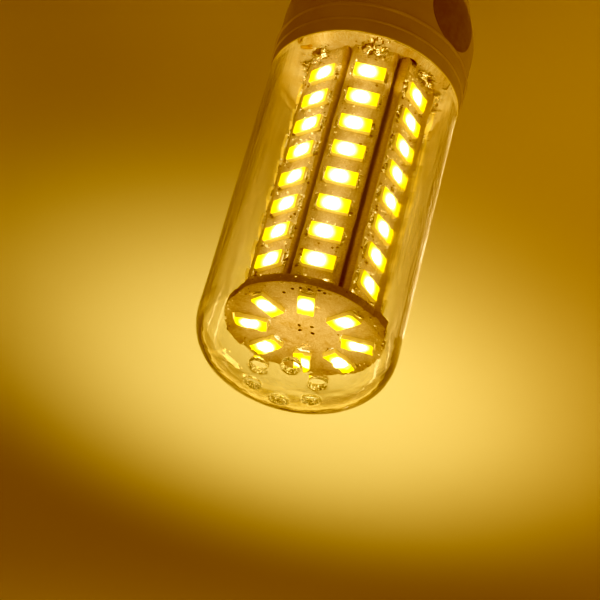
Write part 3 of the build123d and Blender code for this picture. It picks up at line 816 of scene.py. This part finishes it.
def fillet_wedge(s, x, y, side, width, reach, height, material, rng):
    """Concave run of solder from a terminal's end down to its pad."""
    pts, cols = [], 7
    prof = [(0.0, height), (0.12, height * 0.62), (0.42, height * 0.24), (0.78, 0.09 * height + 0.03), (1.0, 0.02)]
    for j in range(cols):
        t = j / (cols - 1)
        edge = 1 - abs(2 * t - 1) ** 3
        wob = 1 + 0.18 * rng.uniform(-1, 1)
        for d, z in prof:
            pts.append((x + side * d * reach * wob * (0.55 + 0.45 * edge), y + (t - 0.5) * width, max(0.015, z * (0.35 + 0.65 * edge))))
        pts.append((x + side * -0.05, y + (t - 0.5) * width, 0.0))
    m = len(prof) + 1
    faces = []
    for j in range(cols - 1):
        for i in range(m):
            a, b = j * m + i, j * m + (i + 1) % m
            faces.append((a, b, b + m, a + m))
    faces.append(tuple(range(m - 1, -1, -1)))
    faces.append(tuple((cols - 1) * m + i for i in range(m)))
    if side < 0:
        faces = [tuple(reversed(f)) for f in faces]
    s.add(pts, faces, material)


def slab(s, x, y, w, h, r, z0, z1, material, turn=0.0):
    """Thin rounded pad or trace with a softened upper edge."""
    steps = 3
    n = 4 * (steps + 1)
    c, d = cos(turn), sin(turn)
    e = min(0.02, (z1 - z0) * 0.8, w / 5, h / 5)
    verts = []
    for inset, z in ((0.0, z0), (0.0, z1 - e * 0.6), (e, z1)):
        for px, py in rounded_rect(w - 2 * inset, h - 2 * inset, max(0.01, r - inset), 0.0, steps):
            verts.append((x + c * px - d * py, y + d * px + c * py, z))
    faces = bridge(n, 0, n) + bridge(n, n, 2 * n) + [tuple(range(2 * n, 3 * n)), tuple(range(n - 1, -1, -1))]
    s.add(verts, faces, material)


core_shift = [0.35, 0.0, 0.0, 0.0, 0.0, 0.0, 0.0, -0.45]
up = np.array([0.0, 0.0, 1.0])
for k in range(8):
    theta, face, r_emit, shift = strips[k]
    o = strip_origin(k)
    leds = Soup()
    package = led_package(core_shift[k])
    for row in range(rows):
        leds.placed(package, o + up * (row1_z + row * row_pitch), tangent(face), up, outward(face))
    build(f"leds_on_strip_{k + 1}", leds, ["led_case", "led_top"], [f"strip_leds_{k + 1}"], 50, "led")

leds = Soup()
package = led_package(0.15)
for k in range(8):
    a = disk_led_angle + 45 * k
    x, y = on_ring(a, disk_led_ring)
    xd = outward(a)
    yd = np.cross(up, xd)
    leds.placed(package, np.array([x, y, disk_z]), xd, yd, up)
build("leds_on_disk", leds, ["led_case_end", "led_top"], ["disk_leds"], 50, "led")


# ------------------------------------------------------------------ strips
def strip_piece(k):
    theta, face, r_emit, shift = strips[k]
    rng = Random(100 + k)
    o, t, nn = strip_origin(k), tangent(face), outward(face)
    s = Soup()
    w = strip_w / 2
    z0, z1 = base_plate_z, disk_z - disk_t
    # board: section bevelled by the score lines, its edges a little torn
    section = [(shift + w - 0.25, 0.0), (shift + w - 0.05, -0.32), (shift + w, -0.6), (shift + w, -1.1), (shift + w - 0.12, -1.6),
               (shift - w + 0.12, -1.6), (shift - w, -1.1), (shift - w, -0.6), (shift - w + 0.05, -0.32), (shift - w + 0.25, 0.0)]
    ns = 150
    m = len(section)
    verts = []
    for j in range(ns + 1):
        z = z0 + (z1 - z0) * j / ns
        for i, (x, d) in enumerate(section):
            side = 1 if i < m / 2 else -1
            tear = 0.0
            if i in (1, 2, 3, m - 4, m - 3, m - 2):
                tear = 0.05 * (noise.noise(Vector((z * 1.4, side * 7.0 + k, i * 0.7))) - 0.55)
            if i in (0, m - 1):
                tear = 0.05 * (noise.noise(Vector((z * 1.1, side * 3.0 + k, 5.0))) - 0.3)
            verts.append((x + side * min(0.0, tear), z, d))
    faces, mats = [], []
    for j in range(ns):
        for i in range(m):
            a, b = j * m + i, j * m + (i + 1) % m
            faces.append((a, b, b + m, a + m))
            mats.append(0 if i in (m - 1, 4) else 1)
    faces.append(tuple(range(m - 1, -1, -1)))
    faces.append(tuple(ns * m + i for i in range(m)))
    mats += [1, 1]
    board = Soup()
    board.add(verts, faces, mats)
    # copper under the mask: a rail each side and links between the LEDs
    for side in (-1, 1):
        slab(board, shift + side * 3.55, (z0 + z1) / 2, 0.75, z1 - z0 - 1.2, 0.2, -0.01, 0.035, 0)
    for row in range(rows):
        zc = row1_z + row * row_pitch
        for side in (-1, 1):
            slab(board, side * 2.78, zc, 1.15, 2.7, 0.15, -0.01, 0.045, 2)
            slab(board, side * 2.2, zc + side * 3.0, 0.5, 3.4, 0.2, -0.01, 0.03, 0)
            fillet_wedge(board, side * led_l / 2, zc, side, 2.3 + rng.uniform(-0.15, 0.15), 0.44 + rng.uniform(-0.06, 0.06),
                         0.42 + rng.uniform(-0.06, 0.06), 3, rng)
    for z in (z0 + 1.3, z1 - 1.15):
        for side in (-1, 1):
            slab(board, shift + side * 2.3, z, 1.9, 2.2, 0.3, -0.01, 0.04, 2)
    s.placed(board, o, t, up, nn)
    return build(f"strip_board_{k + 1}", s, ["mask", "laminate", "pad", "solder"], [f"led_strip_{k + 1}"], 40,
                 recalc=False)


for k in range(8):
    strip_piece(k)

# ------------------------------------------------------------------ end disk
def end_disk():
    rng = Random(41)
    n = 420
    outline = []
    flats = ((91.0, 2.6, 13.98), (-55.0, 6.5, 14.02), (118.0, 3.0, 14.06), (272.0, 2.4, 14.02))
    tabs = ((66.0, 4.4, 14.78), (249.0, 3.6, 14.8))
    for i in range(n):
        a = 360.0 * i / n
        r = disk_r
        for angle, w, edge_r in flats:
            d = (a - angle + 180) % 360 - 180
            half = np.degrees(w / 2 / edge_r)
            if abs(d) < half:
                r = min(r, edge_r / cos(radians(d)))
        for angle, w, edge_r in tabs:
            d = (a - angle + 180) % 360 - 180
            half = np.degrees(w / 2 / edge_r)
            if abs(d) < half:
                q = min(1.0, (half - abs(d)) / 1.4)
                r = max(r, disk_r + (edge_r / cos(radians(d)) - disk_r) * q - 0.12 * abs(noise.noise(Vector((a * 0.9, 3, 1)))))
        r += 0.10 * (noise.noise(Vector((cos(radians(a)) * 9, sin(radians(a)) * 9, 2.0))) - 0.6)
        r -= 0.16 * max(0.0, noise.noise(Vector((cos(radians(a)) * 26, sin(radians(a)) * 26, 7.0))) - 0.15)
        x, y = -r * sin(radians(a)), -r * cos(radians(a))
        outline.append((disk_x + x, disk_y + y))
    holes = []
    for x, y in ((-0.05, -1.21), (-2.27, -1.20), (-0.10, 0.27), (-2.27, 0.63)):
        holes.append([(x + 0.34 * cos(2 * pi * i / 20), y + 0.34 * sin(2 * pi * i / 20)) for i in range(20)])
    for x, y in ((1.98, -10.82), (0.44, -12.27), (-0.95, -12.9), (-2.39, -12.91), (-4.11, -12.99), (-4.98, -12.45)):
        holes.append([(x + 0.28 * cos(2 * pi * i / 18), y + 0.28 * sin(2 * pi * i / 18)) for i in range(18)])
    inset = []
    for i, (x, y) in enumerate(outline):
        d = hypot(x - disk_x, y - disk_y)
        inset.append((disk_x + (x - disk_x) * (d - 0.1) / d, disk_y + (y - disk_y) * (d - 0.1) / d))
    extra = []
    for r in np.arange(0.9, 13.6, 1.1):
        m = int(2 * pi * r / 1.1) + 3
        for i in range(m):
            q = (disk_x + r * cos(2 * pi * i / m + r), disk_y + r * sin(2 * pi * i / m + r))
            if all(hypot(q[0] - h[0][0], q[1] - h[0][1]) > 0.9 for h in holes):
                extra.append(q)
    xy, tri, spans = triangulated([inset] + holes, extra)
    s = Soup()
    verts = [(x, y, disk_z) for x, y in xy] + [(x, y, disk_z - disk_t) for x, y in xy]
    nb = len(xy)
    faces = list(tri) + [tuple(nb + i for i in reversed(t)) for t in tri]
    mats = [0] * len(faces)
    levels = [disk_z - 0.07, disk_z - 0.5, disk_z - 1.0, disk_z - disk_t + 0.07]
    chain = [spans[0]]
    for q, z in enumerate(levels):
        start = len(verts)
        for i, (x, y) in enumerate(outline):
            d = hypot(x - disk_x, y - disk_y)
            torn = 0.07 * (noise.noise(Vector((x * 1.7, y * 1.7, z * 2.0))) - 0.45)
            dd = d + min(0.0, torn)
            verts.append((disk_x + (x - disk_x) * dd / d, disk_y + (y - disk_y) * dd / d, z))
        chain.append(list(range(start, start + n)))
    chain.append([nb + i for i in spans[0]])
    for c1, c2 in zip(chain, chain[1:]):
        f = [(c1[i], c2[i], c2[(i + 1) % n], c1[(i + 1) % n]) for i in range(n)]
        faces += f
        mats += [1] * len(f)
    # the holes' walls take the near-black painted shade
    for span in spans[1:]:
        m = len(span)
        f = [(span[i], nb + span[i], nb + span[(i + 1) % m], span[(i + 1) % m]) for i in range(m)]
        faces += f
        mats += [3] * m
    s.add(verts, faces, mats)
    # pads and solder
    lay = Soup()
    for k in range(8):
        a = disk_led_angle + 45 * k
        x, y = on_ring(a, disk_led_ring)
        xd = outward(a)
        yd = np.cross(up, xd)
        led = Soup()
        for side in (-1, 1):
            slab(led, side * 2.78, 0, 1.15, 2.7, 0.15, -0.01, 0.045, 2)
            fillet_wedge(led, side * led_l / 2, 0.0, side, 2.3, 0.42 + rng.uniform(-0.05, 0.05), 0.4, 4, rng)
        lay.placed(led, np.array([x, y, disk_z]), xd, yd, up)
    s.add(np.concatenate(lay.v), lay.f, lay.m)
    return build("end_disk_board", s, ["mask", "laminate", "pad", "hole_wall_shade", "solder"], ["end_disk"], 40, recalc=True)


end_disk()


# ------------------------------------------------------------------ solder and flux
base_joints = [(-0.55, 0.95), (-2.6, -0.9), (-2.3, 2.3), (-2.3, 2.3), (-2.3, 2.3), (-2.3, 2.3), (-2.3, 1.1), (0.9, 2.45)]
disk_joints = [(-2.3, 2.3)] * 8


def joints(name, node, z_face, direction, size, places, seed):
    """Hand-made joints in the corner between a strip's end and the plate or disk: a lumpy mound, ragged runs, and
    crumbs, some of them with painted glints.
    """
    rng = Random(seed)
    s = Soup()
    for k, (theta, face, r_emit, shift) in enumerate(strips):
        o, t, nn = strip_origin(k), tangent(face), outward(face)
        for place in places[k]:
            mid = place + shift

            def at(along, out, high):
                return o + t * (mid + along) + nn * out + up * (z_face + direction * high)

            lump(s, rng, at(0, 0.28 * size, 0.34 * size), (0.62 * size, 0.40 * size, 0.62 * size), 3, 1.0, 0, (t, nn, up))
            for j in range(10):
                a, q = rng.uniform(0, pi / 2), rng.uniform(0.14, 0.34) * size
                reach = rng.uniform(0.25, 0.90) * size
                lump(s, rng, at(rng.uniform(-0.85, 0.85) * size, reach * cos(a) * 0.9, reach * sin(a) * 1.1),
                     (q, q * rng.uniform(0.4, 0.9), q * rng.uniform(0.6, 1.3)), 2, 1.3, 0 if rng.random() < 0.6 else 1, (t, nn, up))
            for j in range(46):
                q = rng.uniform(0.06, 0.17)
                if rng.random() < 0.45:
                    c = at(rng.gauss(0, 0.75) * size, rng.uniform(0.05, 1.25) * size, 0.5 * q)
                else:
                    c = at(rng.gauss(0, 0.75) * size, 0.5 * q, rng.uniform(0.1, 1.75) * size)
                lump(s, rng, c, (q * rng.uniform(0.7, 1.7), q, q * rng.uniform(0.6, 1.2)), 1, 1.1, rng.choice((0, 1, 1, 2, 2)), (t, nn, up))
    return build(name, s, ["solder", "flux", "painted_glint_spatter"], [node], None)


joints("solder_at_base", "base_solder", base_plate_z, 1, 1.7, base_joints, 7)
joints("solder_at_disk", "disk_solder", disk_z - disk_t, -1, 0.95, disk_joints, 8)


s = Soup()
lump(s, Random(3), np.array([10.7, -8.95, base_plate_z + 0.05]), (1.0, 0.5, 0.12), 3, 0.8, 0)
lump(s, Random(4), np.array([9.9, -9.5, base_plate_z + 0.04]), (0.45, 0.3, 0.10), 2, 0.8, 0)
build("flux_spot", s, ["amber_flux"], (), None)


def crumbs(k, count, spread, seed):
    """Solder balls and flux spatter beside the LEDs' terminals, half of them with painted glints."""
    theta, face, r_emit, shift = strips[k]
    rng = Random(seed)
    o, t, nn = strip_origin(k), tangent(face), outward(face)
    s = Soup()
    for row in range(rows):
        zc = row1_z + row * row_pitch
        for j in range(count):
            side = rng.choice((-1, 1))
            x = side * (led_l / 2 + abs(rng.gauss(0.35, spread)))
            z = zc + rng.uniform(-1.9, 1.9)
            if rng.random() < 0.3:
                x, z = rng.uniform(-3.2, 3.2), zc + rng.choice((-1, 1)) * rng.uniform(1.7, 3.0)
            x = max(-4.0 + shift, min(4.0 + shift, x))
            q = rng.uniform(0.08, 0.22)
            c = o + t * x + up * z + nn * (0.35 * q)
            lump(s, rng, c, (q * rng.uniform(0.7, 1.5), q, q * rng.uniform(0.6, 1.1)), 2 if q > 0.14 else 1, 1.2,
                 rng.choice((0, 1, 2, 2)), (t, up, nn))
    return build(f"solder_crumbs_{k + 1}", s, ["solder", "flux", "painted_glint_spatter"], (), None)


def disk_crumbs():
    rng = Random(77)
    s = Soup()
    ex, ey = np.array([1.0, 0, 0]), np.array([0, 1.0, 0])
    # about two in five crumbs here and on the rim carry painted glints
    for j in range(150):
        a = rng.uniform(0, 360)
        if j < 90:
            r = disk_r - 0.25 - abs(rng.gauss(0, 0.55))
        else:
            a = disk_led_angle + 45 * rng.randrange(8) + rng.gauss(0, 7)
            r = disk_led_ring + rng.choice((-1, 1)) * (led_l / 2 + abs(rng.gauss(0.3, 0.4)))
        x, y = on_ring(a, r, disk_x, disk_y)
        q = rng.uniform(0.06, 0.17)
        lump(s, rng, np.array([x, y, disk_z + 0.3 * q]), (q * rng.uniform(0.7, 1.6), q, q * 0.8), 1, 1.2,
             rng.choice((0, 1, 1, 2, 2)), (ex, ey, up))
    # and on its rim, where the iron has smeared them
    for j in range(110):
        a = rng.uniform(0, 360)
        x, y = on_ring(a, disk_r - 0.12, disk_x, disk_y)
        q = rng.uniform(0.07, 0.16)
        lump(s, rng, np.array([x, y, disk_z - rng.uniform(0.1, 1.4)]), (q, q, q), 1, 1.2, rng.choice((0, 1, 1, 2, 2)), (ex, ey, up))
    return build("solder_crumbs_disk", s, ["solder", "flux", "painted_glint_spatter"], (), None)


disk_crumbs()
for k in range(8):
    crumbs(k, 16 if k == 0 else 64, 0.12 if k == 0 else 0.36, 300 + k)

# ------------------------------------------------------------------ carried-over CAD nodes
keep = {
    "housing": "housing", "blank_label": "label", "base_plate": "plate_mask", "driver_board": "driver",
    "film_capacitor": "film", "smoothing_capacitor": "sleeve", "bridge_rectifier": "moulding",
    "bleeder_resistor": "resistor", "fuse_resistor": "resistor", "live_lead": "red_wire", "neutral_lead": "black_wire",
    "positive_lead": "red_wire", "negative_lead": "black_wire",
}
for name, m in keep.items():
    ob = nodes[name]
    ob.data.materials.clear()
    ob.data.materials.append(mat[m])

# ------------------------------------------------------------------ stage
def stage():
    m, nt, b = new_material("pale_floor")
    vec = coords(nt, (0.01, 0.01, 0.01))
    f = noise_tex(nt, vec, 0.8, 4.0, 0.5)
    nt.links.new(ramp(nt, f, [(0.3, (0.74, 0.71, 0.66)), (0.7, (0.78, 0.75, 0.70))]), b.inputs["Base Color"])
    b.inputs["Roughness"].default_value = 0.55
    me = bpy.data.meshes.new("floor")
    q = 4.0
    me.from_pydata([(-q, -q, -0.0002), (q, -q, -0.0002), (q, q, -0.0002), (-q, q, -0.0002)], [], [(0, 1, 2, 3)])
    me.materials.append(m)
    ob = bpy.data.objects.new("floor", me)
    scene.collection.objects.link(ob)
    world = bpy.data.worlds.new("studio")
    scene.world = world
    world.use_nodes = True
    bg = world.node_tree.nodes["Background"]
    bg.inputs[0].default_value = (1.0, 0.66, 0.17, 1)
    bg.inputs[1].default_value = 0.09


stage()


warm = (1.0, 0.66, 0.17)
glow = (1.0, 0.74, 0.36)


def place_light(name, light, where, target, hidden=False):
    ob = bpy.data.objects.new(name, light)
    ob.location = where
    d = Vector(target) - Vector(where)
    ob.rotation_mode = "QUATERNION"
    ob.rotation_quaternion = d.to_track_quat("-Z", "Y")
    scene.collection.objects.link(ob)
    if hidden:
        ob.visible_camera = ob.visible_transmission = False
    return ob


def softbox(name, where, target, size, power, colour=warm, hidden=False):
    light = bpy.data.lights.new(name, "AREA")
    light.shape = "RECTANGLE"
    light.size, light.size_y = size
    light.energy = power
    light.color = colour
    return place_light(name, light, where, target, hidden)


softbox("overhead", (0.0, -0.40, 0.80), (0, 0.0, 0.06), (0.5, 0.5), 0.62)
# pale cards, there for the cover and the metal to mirror
for name, where, size, power in (("card_behind", (0.05, 0.85, 0.30), (1.3, 0.5), 2.2), ("card_left", (0.65, 0.22, 0.24), (0.9, 0.45), 1.3),
                                 ("card_right", (-0.65, 0.22, 0.24), (0.9, 0.45), 1.4)):
    card = softbox(name, where, (0, 0.02, 0.08), size, power)
    card.visible_diffuse = False
# soft pools of light: on the floor beyond the bulb, and on the housing
for name, power, cone, radius, where, target, colour in (
        ("pool_near", 7.0, 28.0, 0.06, (-0.06, 0.20, 0.75), (-0.085, 0.145, 0.0), (1.0, 0.63, 0.17)),
        ("pool_far", 25.0, 16.5, 0.04, (0.06, 0.24, 0.75), (0.042, 0.214, 0.0), (1.0, 0.78, 0.27)),
        ("pool_beyond", 22.0, 42.0, 0.06, (0.05, 0.66, 0.80), (0.05, 0.66, 0.0), warm),
        ("pool_side", 7.0, 26.0, 0.06, (0.30, 0.16, 0.60), (0.24, 0.13, 0.0), warm),
        ("front", 1.0, 14.0, 0.05, (-0.22, -0.50, 0.30), (0.0, 0.0, 0.045), warm),
        ("rear", 5.0, 20.0, 0.08, (0.34, 0.50, 0.38), (0.0, 0.0, 0.06), warm),
        ("flank", 3.0, 20.0, 0.08, (-0.55, 0.15, 0.36), (0.0, 0.0, 0.06), warm)):
    spot = bpy.data.lights.new(name, "SPOT")
    spot.energy, spot.color = power, colour
    spot.spot_size, spot.spot_blend, spot.shadow_soft_size = radians(cone), 1.0, radius
    lamp = place_light(name, spot, where, target)
    lamp.visible_glossy = name not in ("rear", "flank")
# light that the cover throws back on to the boards
for k, (theta, face, r_emit, shift) in enumerate(strips):
    n = outward(face)
    o = strip_origin(k)
    p = o + n * 4.3
    softbox(f"back_glow_{k + 1}", (p[0] * MM, p[1] * MM, 0.0845), (o[0] * MM, o[1] * MM, 0.0845), (0.0016, 0.050), 0.0016 if k == 7 else 0.0011, glow, True)
for k in range(8):
    n = outward(strips[k][1] + 22.5)
    p = (cage_x + 15.0 * n[0], cage_y + 15.0 * n[1])
    softbox(f"plate_glow_{k + 1}", (p[0] * MM, p[1] * MM, 0.0665), (p[0] * MM, p[1] * MM, 0.058), (0.003, 0.003), 0.00022, glow, True)
softbox("back_glow_end", (disk_x * MM, disk_y * MM, 0.1205), (disk_x * MM, disk_y * MM, 0.11), (0.018, 0.018), 0.0017, glow, True)

cam = bpy.data.cameras.new("camera")
cam.lens, cam.sensor_width, cam.sensor_fit = 125.4877, 36.0, "HORIZONTAL"
cam.clip_start, cam.clip_end = 0.01, 50.0
camera = bpy.data.objects.new("camera", cam)
x = Vector((-0.97283352, 0.05607928, -0.22461090))
y = Vector((0.15650743, -0.55560469, -0.81658365))
z = Vector((-0.17058829, -0.82955322, 0.53173404))
camera.matrix_world = Matrix((
    (x[0], y[0], z[0], -0.0610406),
    (x[1], y[1], z[1], -0.3029952),
    (x[2], y[2], z[2], 0.3008180),
    (0, 0, 0, 1),
))
scene.collection.objects.link(camera)
scene.camera = camera

scene.view_settings.view_transform = "Standard"
scene.view_settings.look = "None"
scene.cycles.caustics_refractive = False
scene.cycles.caustics_reflective = False
scene.cycles.sample_clamp_indirect = 4.0
scene.cycles.transmission_bounces = 14
scene.cycles.transparent_max_bounces = 16
scene.cycles.max_bounces = 16

# lens bloom round the lit packages
scene.use_nodes = True
tree = scene.node_tree
tree.nodes.clear()
layers = tree.nodes.new("CompositorNodeRLayers")
image = layers.outputs["Image"]
for strength, size, least in ((0.28, 0.12, 1.5), (0.10, 0.42, 1.2)):
    glare = tree.nodes.new("CompositorNodeGlare")
    glare.glare_type = "BLOOM"
    glare.quality = "HIGH"
    for key, value in (("Threshold", least), ("Smoothness", 0.3), ("Strength", strength), ("Saturation", 0.9), ("Size", size)):
        glare.inputs[key].default_value = value
    glare.inputs["Clamp"].default_value = True
    glare.inputs["Maximum"].default_value = 12.0
    tree.links.new(image, glare.inputs["Image"])
    image = glare.outputs["Image"]
grade = tree.nodes.new("CompositorNodeColorBalance")
grade.correction_method = "OFFSET_POWER_SLOPE"
grade.slope = (1.0, 1.05, 1.9)
grade.offset_basis = -0.13
grade.offset = (0.13, 0.10, 0.0)
grade.power = (1.0, 1.2, 1.6)
final = tree.nodes.new("CompositorNodeComposite")
tree.links.new(image, grade.inputs["Image"])
tree.links.new(grade.outputs["Image"], final.inputs["Image"])
